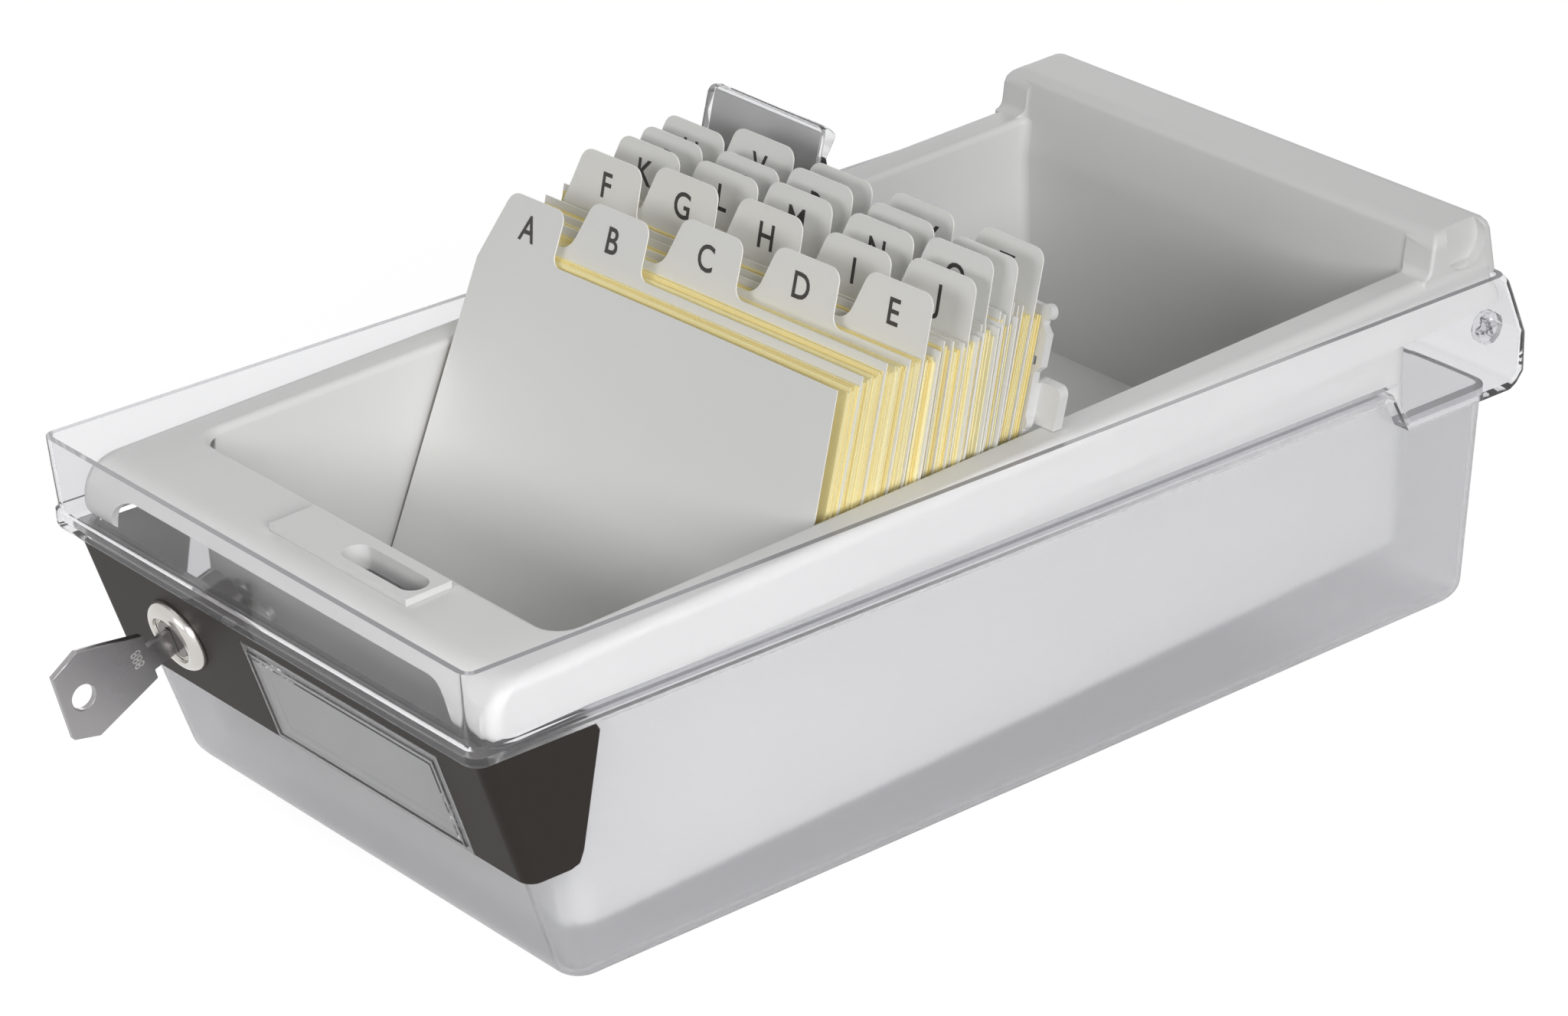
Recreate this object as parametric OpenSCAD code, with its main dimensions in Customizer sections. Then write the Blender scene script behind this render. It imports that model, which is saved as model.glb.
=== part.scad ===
// Index card drawer for A6 cards: a card tray standing in its upturned clear cover.
// The tray leans a little, because its front stands on the cover's ledge and its rear cap on the cover's rim.

/* [Cards] */
// Width of a card
card_w = 148; // [120:1:180]
// Height of a card, without the guide's tab
card_h = 101.5; // [70:0.5:110]
// Height of a guide's tab above the card
tab_h = 15.5; // [8:0.5:18]
// Width of a guide's tab at its top
tab_w = 23.5; // [16:0.5:25]
// Thickness of a lettered guide
guide_t = 0.4; // [0.3:0.05:0.6]
// Lean of the first guide towards the rear, in degrees from upright
first_lean = 17.5; // [11:0.5:19]
// Lean of the guides in the middle of the file, in degrees from upright
mid_lean = 10.5; // [8:0.5:11]
// Lean of the support, in degrees from upright
card_lean = 13.4; // [11:0.2:18]

/* [Tray] */
// Length of the tray, from its front rim to its rear cap
tray_l = 362; // [330:1:420]
// Space between the cover's floor and the front of the tray's body
under_gap = 9.2; // [7:0.2:12]
// Wall of the tray
tray_wall = 2.2; // [1.8:0.1:2.8]
// Width of the front rim, from its rolled edge to the inside of the tray
front_rim = 28.5; // [26:0.5:32]
// Height of the rear cap above the rim
cap_h = 12.5; // [10:0.5:14]
// Depth of the skirt that hangs from the side rims
apron_h = 16; // [12:0.5:18]
// Radius of the pivot seat in each end of the rear cap
seat_r = 8; // [6:0.5:9]

/* [Cover] */
// Height of the cover's ledge above the surface that it lies on
ledge_h = 80; // [76:1:90]
// Height of the cover's skirt above its ledge
skirt_h = 26.5; // [24:0.5:32]
// Wall of the cover
cover_wall = 1.8; // [1.4:0.1:2.2]
// Lean of the cover's front wall, in degrees from upright
front_lean = 19.2; // [15:0.1:20]
// Radius of the cover's bottom edges
foot_r = 8; // [4:0.5:10]
// Diameter of the clear pivot studs
stud_d = 10; // [6:0.5:10]

/* [Front panel] */
// Height of the front panel, from its lower edge to the cover's ledge
panel_h = 40; // [38:1:46]
// Distance of the panel's face from the cover's front wall
panel_stand = 3.8; // [3:0.1:4.6]
// Width of the label window
window_w = 83; // [60:1:90]
// Height of the label window, measured up the slope
window_h = 34; // [24:1:36]

/* [Lock] */
// Diameter of the lock's barrel
barrel_d = 18; // [15:0.5:20]
// Diameter of the lock's plug
plug_d = 11.5; // [10.5:0.1:12.5]
// Length of the cam from the plug's axis to its tip
cam_l = 19; // [15:0.5:21]
// Length of the key's bow
key_bow = 29; // [22:0.5:32]
// Thickness of the key
key_t = 2; // [1.6:0.1:2.4]

/* [Card support] */
// Distance from the first guide to the support, along the floor
file_l = 78.2; // [74:0.2:140]
// Height of the clear sign above the support
sign_h = 20.5; // [14:0.5:30]
// Width of the clear sign
sign_w = 49.2; // [36:0.2:60]

/* [Hidden] */

$fn = 48;
overrun = 1;
seat_gap = 0.2;
clip_gap = 0.15;
fit_gap = 0.05;
paper_gap = 0.06;
arc_steps = 6;
fillet_steps = 4;

// Cross dimensions, worked outwards from the card
card_gap = 2;
rim_w = 11.5;
rim_gap = 1.7;
cavity_half = card_w / 2 + card_gap;
apron_half = cavity_half + rim_w;
cover_half = apron_half + rim_gap + cover_wall;
body_half = cavity_half + tray_wall;
mould_draft = 1;

// Cover: rings of the tub, the ledge and the skirt
ledge_w = 5.5;
tub_draft = 1.5;
tub_half = cover_half - ledge_w;
front_ledge = 9.9;
tub_front = front_ledge + ledge_h * tan(front_lean);
cap_rear_gap = 9;
pocket_bulge = 12.2;
tray_front = cap_rear_gap;
rim_rear = tray_front + tray_l;
cover_l = rim_rear + pocket_bulge;
tub_rear_in = 10.1;
tub_rear = cover_l - tub_rear_in;
cover_h = ledge_h + skirt_h;
pocket_drop = 10.6;
pocket_low = ledge_h - pocket_drop;
pocket_l = 56;
pocket_step = 6;
tub_corner = 6;
least_corner = 1;
band_corner = 4;
lip_in = 0.7;
band_lean = 1.8;
skirt_up_shares = [0, 0.04, 0.19, 0.22, 0.7, 0.89, 1];
outer_in_shares = [0.6, 0, 0, 1, 0.35, 0.14, 0];
inner_in_shares = [1, 1, 1, 1, 0.35, 0.14, 0];
pocket_up_shares = [0, 0.04, 0.12, 0.43, 0.78, 0.92, 1];
bulge_shares = [0.64, 0.78, 0.97, 1, 0.48, 0.26, 0];
stud_l = 4.4;
stud_drop = 16.1;
stud_back = 16.3;

// Everything is placed in the cover's own length, with the origin under its middle
origin_y = cover_l / 2;

// Tray: it stands on the ledge with its front skirt and on the cover's rim with its cap
cap_skirt = 5.9;
tray_z = ledge_h + cover_wall + seat_gap + apron_h;
tray_depth = tray_z - cover_wall - under_gap;
seat_rise = cover_h + seat_gap - tray_z + cap_skirt;
tray_rest_in = 2;
tray_tilt = asin(seat_rise / (tray_l - tray_rest_in));
edge_r = 3.5;
front_edge_r = 10.5;
mouth_r = 2;
cavity_front = front_rim + mouth_r;
cap_l = 26;
cap_foot = 4;
cavity_rear = tray_l - cap_l - cap_foot;
cap_lean = 9.9;
floor_under_rim = 59.5;
floor_t = 2.2;
body_wall = 6;
body_rear = cavity_rear + body_wall;
apron_flare = 5.2;
apron_corner = 4;
apron_plan_r = 4;
cap_overhang = 3;
edge_shares = [0, 0.015, 0.06, 0.13, 0.21, 0.33, 0.5, 0.56, 0.75, 1];
notch_half = 63;
notch_r = 10;
notch_top = 5;
body_edge = 2;
body_corner = 8;
floor_edge = 1;
crease_down = 11.6;
rear_corner = 3;
cap_fillet = 2.5;
cap_step = 0.5;
cap_edge = 4.5;
cap_end_in = 0.3;
cap_plan_r = 2.5;
cap_rear_lean = 3.5;
seat_depth = 3;
seat_back = 14;
seat_drop = 5.75;

// Striker pad on the front rim, with the lock's slot
pad_x = -18.6;
pad_l = 57.7;
pad_v = 12.4;
pad_w = 14.6;
pad_deep = 1.5;
pad_proud = 2;
slot_x = 6.2;
slot_l = 31;
slot_v = 15.1;
slot_w = 8.3;
sleeve_wall = 1.2;
sleeve_l = 5;

// Files: guides start behind a free space, and stand on the level floor
file_front = 93;
row_n = 5;
gap_shares = [
    92, 98, 93, 63, 52, 35, 40, 33, 24, 22, 16, 14, 14, 14, 18,
    12, 12, 14, 14, 12, 11, 11, 12, 24, 32
];
fan_n = 8;
tab_r = 4;
tab_foot_r = 3;
tab_slant = 8.2;
tab_edge = 6.9;
tab_shoulder = 5.5;
tab_pitch = (card_w - tab_w - tab_edge) / (row_n - 1);
block_drop = 1.5;
block_side = 0.6;
card_stock = 0.4;

// Support and sign
support_t = 2.4;
support_play = 1.5;
support_half = cavity_half - support_play;
support_foot_half = card_w / 2 + seat_gap;
support_drop = 1;
support_h = card_h - support_drop;
knob_r = 2.2;
knob_drop = 1.4;
bump_out = 2;
bump_l = 13;
bump_drop = 5;
foot_knob_r = 2.2;
foot_knob_up = 68.5;
foot_knob_in = 1.2;
peep_w = 1.6;
peep_h = 2.4;
peep_drop = 16;
peep_in = 1.9;
sign_in = 3.6;
sign_x = sign_in - support_foot_half;
sign_t = 3;
sign_rim = 2;
sign_corner = 3.5;
sign_flare = 1.8;
sign_waist = 0.5;
sign_top = support_h + sign_h;
flare_down = 1.6;
waist_down = 8.5;
rib_down = 13.5;
rail_w = 1.6;
rail_t = 1.4;
rail_lip = 2;
rail_h = 30;
rail_low = support_h - rail_h;
ear_back = 6.6;
ear_in = 3;
ear_w = 9;
ear_t = 3;
ear_h = 11;
ear_corner = 2.6;

// Panel and lock, in the plane of the cover's front wall
wing_depth = 16.5;
wing_t = 2.5;
panel_half = tub_half + wing_t;
panel_corner = 4;
window_x = -16.5;
panel_low = ledge_h - panel_h;
panel_top = ledge_h / cos(front_lean);
window_drop = 7.31;
window_up = panel_top - window_drop - window_h;
lock_x = -50;
lock_drop = 20.71;
lock_up = panel_top - lock_drop;
panel_up_shares = [0, 0.02, 0.1, 0.9, 0.975, 1];
wing_shares = [0.62, 0.78, 0.86, 1.21, 1.1, 0.95];
window_bevel = 2;
window_proud = 0.6;
bezel_d = 22;
bezel_proud = 3.5;
barrel_l = 14;
nut_af = 22;
nut_t = 3.5;
tail_l = 2.8;
tail_w = 5;
cam_t = 2;
cam_w = 8;
screw_d = 3;
screw_head_d = 6.4;
screw_head_t = 1.6;
screw_l = 6;
keyway_t = key_t + 2 * clip_gap;
blade_w = 7.6;
keyway_w = blade_w + 4 * clip_gap;
keyway_l = 15;
plug_in = 0.8;
plug_face = panel_stand + bezel_proud - plug_in;
wafer_n = 4;
wafer_t = 1;
wafer_w = 5;
wafer_h = 10;
wafer_pitch = 2.2;
wafer_low = -7.5;
key_shoulder = 10.4;
blade_l = 21;
bow_shares = [
    [0, 0.27], [0.64, 0.57], [0.95, 0.48], [1, -0.22],
    [0.75, -0.36], [0.02, -0.23]
];

// Points of an arc from angle a0 to angle a1
function arc(cx, cy, r, a0, a1, n = arc_steps) =
    [for (i = [0 : n]) let (a = a0 + (a1 - a0) * i / n) [cx + r * cos(a), cy + r * sin(a)]];

// A rounded rectangle at one height, anticlockwise from its front right corner
function ring(half, front, rear, z, rf, rb) = [
    for (p = concat(
        arc(half - rf, front + rf, rf, -90, 0),
        arc(half - rb, rear - rb, rb, 0, 90),
        arc(rb - half, rear - rb, rb, 90, 180),
        arc(rf - half, front + rf, rf, 180, 270)
    )) [p.x, p.y, z]
];

// The same with its rear part at a second height and width, for the cover's pocket
function step_ring(front_half, rear_half, front, rear, z, rear_z, r, from) = concat(
    [for (p = arc(front_half - r, front + r, r, -90, 0)) [p.x, p.y, z]],
    [[front_half, from, z], [rear_half, from + pocket_step, rear_z]],
    [for (p = arc(rear_half - r, rear - r, r, 0, 90)) [p.x, p.y, rear_z]],
    [for (p = arc(r - rear_half, rear - r, r, 90, 180)) [p.x, p.y, rear_z]],
    [[-rear_half, from + pocket_step, rear_z], [-front_half, from, z]],
    [for (p = arc(r - front_half, front + r, r, 180, 270)) [p.x, p.y, z]]
);

// A solid through a stack of rings that all have the same number of points
module loft(rings) {
    n = len(rings[0]);
    last = len(rings) - 1;
    points = [for (r = rings) each r];
    low_face = [for (i = [0 : n - 1]) i];
    top_face = [for (i = [0 : n - 1]) last * n + n - 1 - i];
    sides = [
        for (k = [0 : last - 1], i = [0 : n - 1])
            let (a = k * n + i, b = k * n + (i + 1) % n)
                each [[a, a + n, b + n], [a, b + n, b]]
    ];
    polyhedron(points, concat([low_face, top_face], sides), convexity = 8);
}

// Where the cover's front wall stands at a height
function tub_y(z) = tub_front - z * tan(front_lean);

function tub_half_at(z) = tub_half - (ledge_h - z) * tan(tub_draft);

function tub_rear_at(z) = tub_rear - (ledge_h - z) * tan(tub_draft);

module in_cover() translate([0, -origin_y, 0]) children();

module in_tray() in_cover() translate([0, tray_front, tray_z]) rotate([tray_tilt, 0, 0]) children();

// The floor of the tray falls to the rear as much as the tray leans
module on_floor() in_tray() translate([0, 0, -floor_under_rim]) rotate([-tray_tilt, 0, 0]) children();

// X across, Y up the slope of the front wall, Z out of it
module on_front(x = 0, up = 0) in_cover() translate([0, tub_front, 0]) rotate([90 + front_lean, 0, 0])
    translate([x, up, 0]) children();

module on_lock() on_front(lock_x, lock_up) children();

// Rings of the tub's surface, moved inwards by a wall, from the floor up to the fillet's end
function tub_rings(wall) = [
    for (k = [0 : fillet_steps])
        let (
            a = 90 * k / fillet_steps,
            r = foot_r - wall,
            inset = wall + r * (1 - sin(a)),
            z = wall + r * (1 - cos(a)),
            corner = max(tub_corner - wall, least_corner)
        )
        step_ring(
            tub_half_at(z) - inset, tub_half_at(z) - inset,
            tub_y(z) + inset, tub_rear_at(z) - inset, z, z, corner, cover_l - pocket_l
        )
];

// The tub's ring where it meets the ledge, at the sides and lower down in the pocket
function tub_top_ring(wall) = step_ring(
    tub_half_at(ledge_h) - wall, tub_half_at(pocket_low) - wall,
    tub_y(ledge_h + wall) + wall / cos(front_lean), tub_rear_at(pocket_low) - wall,
    ledge_h + wall, pocket_low + wall,
    max(tub_corner - wall, least_corner), cover_l - pocket_l
);

// Rings of the ledge and the skirt, with their lip at the foot of the outer surface
function skirt_rings(wall, in_shares) = [
    for (k = [wall > 0 ? 1 : 0 : len(skirt_up_shares) - 1])
        let (
            up = skirt_up_shares[k],
            inset = lip_in * in_shares[k] + wall,
            z = max(ledge_h + skirt_h * up, ledge_h + wall),
            rear_z = max(pocket_low + (cover_h - pocket_low) * pocket_up_shares[k], pocket_low + wall)
        )
        step_ring(
            cover_half - inset, cover_half - inset,
            band_lean * (1 - up) + inset, rim_rear + pocket_bulge * bulge_shares[k] - wall,
            z, rear_z, max(band_corner - wall, least_corner), cover_l - pocket_l
        )
];

module cover_shell() color([0.86, 0.87, 0.89, 0.45]) {
    outside = concat(tub_rings(0), [tub_top_ring(0)], skirt_rings(0, outer_in_shares));
    inside = concat(
        tub_rings(cover_wall), [tub_top_ring(cover_wall)], skirt_rings(cover_wall, inner_in_shares)
    );
    difference() {
        in_cover() loft(concat(outside, [for (k = [len(inside) - 1 : -1 : 0]) inside[k]]));
        on_lock() translate([0, 0, -3 * cover_wall])
            cylinder(d = barrel_d + 2 * fit_gap, h = 6 * cover_wall);
    }
    for (side = [-1, 1]) in_cover()
        translate([side * (cover_half - lip_in - cover_wall / 2), cover_l - stud_back, cover_h - stud_drop])
        rotate([0, -side * 90, 0])
        cylinder(d = stud_d, h = stud_l);
}

// The tub's wall region grown by a gap, from which the front panel is cut free
module tub_block(gap) in_cover() loft([
    for (z = [panel_low - foot_r, ledge_h + cover_wall])
        ring(tub_half_at(z) + gap, tub_y(z) - gap / cos(front_lean), tub_rear, z, tub_corner, tub_corner)
]);

// Rings of the panel's outside; its wings are rounded at their rear corners
function panel_rings() = [
    for (k = [0 : len(panel_up_shares) - 1])
        let (z = panel_low + (ledge_h - clip_gap - panel_low) * panel_up_shares[k])
        ring(
            panel_half, tub_y(z) - panel_stand / cos(front_lean),
            tub_y(panel_low) + wing_depth * wing_shares[k], z, panel_corner, panel_corner / 4
        )
];

module front_panel() color([0.27, 0.25, 0.24]) difference() {
    in_cover() loft(panel_rings());
    tub_block(clip_gap);
    on_front(window_x, window_up) cube([window_w, window_h, 2 * panel_stand]);
    on_lock() cylinder(d = barrel_d + 2 * fit_gap, h = 2 * panel_stand);
}

// A plate that fills the window's opening but for a gap, between two distances from the wall
module window_plate(low, high, gap) on_front(window_x + gap, window_up + gap)
    translate([0, 0, low]) cube([window_w - 2 * gap, window_h - 2 * gap, high - low]);

module label_card() color([0.93, 0.93, 0.92])
    window_plate(clip_gap, clip_gap + card_stock, 2 * clip_gap);

module label_window() color([0.9, 0.92, 0.94, 0.4]) {
    window_plate(clip_gap + card_stock + paper_gap, panel_stand, clip_gap);
    on_front(window_x + clip_gap + window_bevel, window_up + clip_gap + window_bevel)
        translate([0, 0, panel_stand])
        cube([
            window_w - 2 * (clip_gap + window_bevel),
            window_h - 2 * (clip_gap + window_bevel),
            window_proud
        ]);
}

module lock_housing() color([0.75, 0.75, 0.76]) on_lock() rotate_extrude() polygon([
    [plug_d / 2 + fit_gap, -barrel_l], [barrel_d / 2, -barrel_l],
    [barrel_d / 2, panel_stand + fit_gap], [bezel_d / 2, panel_stand + fit_gap],
    [bezel_d / 2, panel_stand + bezel_proud * 0.4], [bezel_d * 0.46, panel_stand + bezel_proud * 0.8],
    [bezel_d * 0.42, panel_stand + bezel_proud], [bezel_d * 0.38, panel_stand + bezel_proud],
    [bezel_d * 0.36, panel_stand + bezel_proud * 0.7], [plug_d / 2 + fit_gap, panel_stand + bezel_proud * 0.6]
]);

module lock_nut() color([0.7, 0.7, 0.68]) on_lock()
    translate([0, 0, -cover_wall / cos(front_lean) - clip_gap - nut_t])
    difference() {
        cylinder(d = nut_af / cos(30), h = nut_t, $fn = 6);
        translate([0, 0, -overrun]) cylinder(d = barrel_d + 2 * fit_gap, h = nut_t + 2 * overrun);
    }

module keyway(grow = 0) translate([-keyway_t / 2 - grow, -keyway_w / 2, plug_face - keyway_l])
    cube([keyway_t + 2 * grow, keyway_w, keyway_l + overrun]);

module wafer_slots() for (k = [0 : wafer_n - 1])
    translate([-wafer_w / 2 - clip_gap, -plug_d, wafer_low + k * wafer_pitch])
        cube([wafer_w + 2 * clip_gap, 2 * plug_d, wafer_t + 2 * fit_gap]);

module lock_plug() color([0.62, 0.6, 0.55]) on_lock() difference() {
    union() {
        translate([0, 0, -barrel_l - fit_gap]) cylinder(d = plug_d, h = barrel_l + fit_gap + plug_face);
        translate([-tail_w / 2, -tail_w / 2, -barrel_l - tail_l]) cube([tail_w, tail_w, tail_l]);
    }
    keyway();
    wafer_slots();
    translate([0, 0, -barrel_l - tail_l - overrun])
        cylinder(d = screw_d + 2 * fit_gap, h = screw_l + overrun);
}

module lock_wafers() color([0.72, 0.6, 0.3]) on_lock() for (k = [0 : wafer_n - 1])
    translate([0, 0, wafer_low + fit_gap + k * wafer_pitch]) difference() {
        translate([-wafer_w / 2, -wafer_h / 2, 0]) cube([wafer_w, wafer_h, wafer_t]);
        translate([-keyway_t / 2, -keyway_w / 2, -overrun]) cube([keyway_t, keyway_w, wafer_t + 2 * overrun]);
    }

module lock_cam() color([0.7, 0.7, 0.7]) on_lock() translate([0, 0, -barrel_l - fit_gap * 2 - cam_t])
    difference() {
        union() {
            cylinder(d = cam_w * 1.4, h = cam_t);
            translate([0, -cam_w / 2, 0]) cube([cam_l - cam_w / 2, cam_w, cam_t]);
            translate([cam_l - cam_w / 2, 0, 0]) cylinder(d = cam_w, h = cam_t);
        }
        translate([-tail_w / 2 - fit_gap, -tail_w / 2 - fit_gap, -overrun])
            cube([tail_w + 2 * fit_gap, tail_w + 2 * fit_gap, cam_t + 2 * overrun]);
    }

module cam_screw() color([0.8, 0.8, 0.78]) on_lock() translate([0, 0, -barrel_l - tail_l - fit_gap]) {
    cylinder(d = screw_d, h = screw_l - overrun);
    translate([0, 0, -screw_head_t]) cylinder(d = screw_head_d, h = screw_head_t);
}

// The key stands in a plane along the lock's axis: outline points are [out of the lock, across]
module key() color([0.55, 0.55, 0.56]) on_lock() translate([-key_t / 2, 0, panel_stand + key_shoulder])
    rotate([90, 0, 90]) difference() {
        union() {
            linear_extrude(key_t) polygon([for (p = bow_shares) [p.y * key_bow, p.x * key_bow]]);
            translate([-blade_w / 2, -blade_l, 0]) cube([blade_w, blade_l + overrun, key_t]);
        }
        translate([key_bow * 0.11, key_bow * 0.75, -overrun])
            cylinder(d = key_bow * 0.25, h = key_t + 2 * overrun);
    }

// How far a rounded edge of radius r has moved in at a depth under its top
function edge_in(r, depth) = depth >= r ? 0 : r - sqrt(r * r - (r - depth) * (r - depth));

// Rings of the tray's rim and skirt, moved inwards by a wall, from their lower edge up
function rim_rings(t) =
    [for (k = [len(edge_shares) - 1 : -1 : 0]) rim_ring(t, -t - (front_edge_r - t) * edge_shares[k])];

function rim_ring(t, w, corner_in = 0) =
    let (
        depth = -t - w,
        flare = apron_flare * max(0, -cap_skirt - w) / (apron_h - cap_skirt)
    )
    ring(
        apron_half - t - edge_in(edge_r - t / 2, depth),
        t + edge_in(front_edge_r - t, depth) + corner_in,
        tray_l - cap_overhang + flare - t - corner_in,
        w, apron_plan_r, apron_plan_r / 2
    );

module rim_block() difference() {
    loft(concat(
        [for (k = [0 : fillet_steps])
            let (a = 90 * k / fillet_steps)
            rim_ring(0, -apron_h + apron_corner * (1 - cos(a)), apron_corner * (1 - sin(a)))],
        rim_rings(0)
    ));
    loft(concat([rim_ring(tray_wall, -apron_h - overrun)], rim_rings(tray_wall)));
    translate([0, front_edge_r, 0]) rotate([90, 0, 0]) linear_extrude(front_edge_r + overrun)
        polygon(concat(
            [[notch_half + notch_r, -apron_h - overrun]],
            arc(notch_half, -notch_top - notch_r, notch_r, 0, 90),
            arc(-notch_half, -notch_top - notch_r, notch_r, 90, 180),
            [[-notch_half - notch_r, -apron_h - overrun]]
        ));
}

// The tray's box with its open underside, up to the rim
module body_block() difference() {
    loft([for (p = [[-tray_depth, 1], [-tray_depth + body_edge, 0], [-tray_wall, 0]])
        ring(
            body_half + p.x * tan(mould_draft) - p[1] * body_edge,
            cavity_front - tray_wall - p.x * tan(mould_draft) + p[1] * body_edge,
            body_rear - p[1] * body_edge, p.x, body_corner, body_corner
        )]);
    loft([
        for (w = [-tray_depth - overrun, 0])
            let (rise = w == 0 ? 1 : 0)
            [for (p = ring(
                body_half - tray_depth * tan(mould_draft) - 2 * tray_wall,
                cavity_front + tray_depth * tan(mould_draft) + tray_wall,
                body_rear - 2 * tray_wall, w, body_corner, body_corner))
                [p.x, p.y, rise ? -floor_under_rim - floor_t - p.y * tan(tray_tilt) : w]]
    ]);
}

// The space for the cards: a level floor, a rounded mouth and a rear wall that leans back at the cap
module cavity() loft(concat(
    [[
        for (p = ring(
            cavity_at(-floor_under_rim), cavity_front + floor_edge, cavity_rear, 0, body_corner, rear_corner
        ))
            [p.x, p.y, -floor_under_rim - p.y * tan(tray_tilt)]
    ]],
    [for (w = [-crease_down, -mouth_r]) cavity_ring(w, 0)],
    [for (k = [1 : fillet_steps])
        let (a = 90 * k / fillet_steps)
            cavity_ring(-mouth_r + mouth_r * sin(a), mouth_r * (1 - cos(a)))],
    [cavity_ring(cap_h + overrun, mouth_r)]
));

function cavity_at(w) = cavity_half + w * tan(mould_draft);

function cavity_ring(w, out) = ring(
    cavity_at(min(w, 0)) + out, cavity_front - out, rear_wall(w), w, body_corner, rear_corner
);

// The rear wall leans back from its crease up to the cap's top
function rear_wall(w) = cavity_rear + (w + crease_down) * tan(cap_lean);

// The raised rear cap with a pivot seat in each end, and a fillet along its foot on the rims
module cap_block() difference() {
    loft(concat(
        [cap_ring(-cap_skirt, 0, cap_fillet)],
        [for (k = [0 : fillet_steps])
            let (a = 90 * k / fillet_steps)
            cap_ring(cap_fillet * (1 - cos(a)), 0, cap_fillet * (1 - sin(a)))],
        [for (k = [0 : fillet_steps])
            let (a = 90 * k / fillet_steps)
            cap_ring(cap_h - cap_edge * (1 - sin(a)), cap_edge * (1 - cos(a)), 0)]
    ));
    for (side = [-1, 1])
        translate([side * (apron_half - cap_end_in - seat_depth / 2), tray_l - seat_back, cap_h - seat_drop])
        rotate([0, 90, 0])
        translate([0, 0, -(side > 0 ? seat_depth / 2 : seat_depth / 2 + overrun)])
        cylinder(r = seat_r, h = seat_depth + overrun);
}

function cap_ring(w, inset, foot) =
    let (lean_in = cap_rear_lean * (w + cap_skirt) / (cap_h + cap_skirt))
    ring(
        apron_half - cap_end_in - inset, rear_wall(max(w, 0)) - cap_step - foot + inset,
        tray_l - lean_in - inset, w, least_corner, cap_plan_r
    );

// The space inside the cap, open from below
module cap_hollow() translate([tray_wall + seat_depth - apron_half, body_rear, -cap_skirt - overrun])
    cube([2 * (apron_half - tray_wall - seat_depth), tray_l - cap_rear_lean - tray_wall - body_rear,
        cap_h + cap_skirt + overrun - tray_wall]);

// The tray is one moulding, in two nodes that meet under the rim and in front of the cap
module tray_shell() color([0.86, 0.86, 0.85]) in_tray() difference() {
    body_block();
    cavity();
    translate([-apron_half, rear_wall(0) - cap_step - cap_fillet, -cap_skirt])
        cube([2 * apron_half, cap_l + cap_foot, cap_skirt]);
}

module tray_rim() color([0.86, 0.86, 0.85]) in_tray() difference() {
    union() {
        rim_block();
        cap_block();
    }
    cavity();
    cap_hollow();
    translate([0, 0, -pad_deep]) pad_outline(pad_deep + overrun, clip_gap, pad_x, pad_l, pad_v, pad_w);
    translate([0, 0, -2 * tray_wall])
        pad_outline(3 * tray_wall, sleeve_wall + clip_gap, slot_x, slot_l, slot_v, slot_w);
}

// A plate with its lower left corner at a place on the front rim, grown by a gap
module pad_outline(h, gap, x, l, v, w) translate([x - gap, v - gap, 0]) cube([l + 2 * gap, w + 2 * gap, h]);

module slot_hole(h) for (x = [slot_x + slot_w / 2, slot_x + slot_l - slot_w / 2])
    translate([x, slot_v + slot_w / 2, 0]) cylinder(d = slot_w, h = h);

module striker_plate() color([0.84, 0.84, 0.83]) in_tray() difference() {
    union() {
        translate([0, 0, clip_gap - pad_deep])
            pad_outline(pad_deep - clip_gap + pad_proud, 0, pad_x, pad_l, pad_v, pad_w);
        translate([0, 0, -sleeve_l]) pad_outline(sleeve_l, sleeve_wall, slot_x, slot_l, slot_v, slot_w);
    }
    translate([0, 0, -sleeve_l - overrun]) slot_hole(sleeve_l + pad_proud + 2 * overrun);
    translate([slot_x + slot_w / 2, slot_v, -sleeve_l - overrun])
        cube([slot_l - slot_w, slot_w, sleeve_l + pad_proud + 2 * overrun]);
}

// Distance of each guide from the first one, along the floor
gap_sum = sum(gap_shares, len(gap_shares));

function sum(list, n) = n == 0 ? 0 : list[n - 1] + sum(list, n - 1);

function guide_u(i) = file_front + file_l * sum(gap_shares, i) / gap_sum;

// The first and last guides fan out: they lean more than those in the middle of the file
function lean(i) = mid_lean + (first_lean - mid_lean) * fan_share(i)
    + (card_lean - mid_lean) * fan_share(len(gap_shares) - i);

function fan_share(k) = pow(max(0, 1 - k / fan_n), 2);

// Outline of a guide whose tab has its upright side at x and a slanted side on its left, which
// runs on down to the guide's own edge when the tab is the first of its row
function guide_outline(x, first, last) =
    let (
        top = card_h + tab_h,
        foot = first ? [-card_w / 2, card_h - tab_shoulder] : [x - tab_w - tab_slant, card_h],
        slope = atan((top - foot.y) / (x - tab_w - foot.x)),
        round_in = tab_r * tan(slope / 2)
    )
    concat(
        [[-card_w / 2, 0], [card_w / 2, 0]],
        last ? [] : concat(
            [[card_w / 2, card_h]],
            arc(x + tab_foot_r, card_h + tab_foot_r, tab_foot_r, -90, -180)
        ),
        arc(x - tab_r, top - tab_r, tab_r, 0, 90),
        arc(x - tab_w + round_in, top - tab_r, tab_r, 90, 90 + slope),
        [foot],
        first ? [] : [[-card_w / 2, card_h]]
    );

// One flat guide that leans back, with its tab in its column
module guide(i) {
    column = i % row_n;
    x = card_w / 2 - (row_n - 1 - column) * tab_pitch;
    on_floor() translate([0, guide_u(i), 0]) rotate([-lean(i), 0, 0])
        translate([0, guide_t, guide_t * tan(lean(i)) + paper_gap]) rotate([90, 0, 0])
        linear_extrude(guide_t) polygon(guide_outline(x, column == 0, column == row_n - 1));
}

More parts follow.
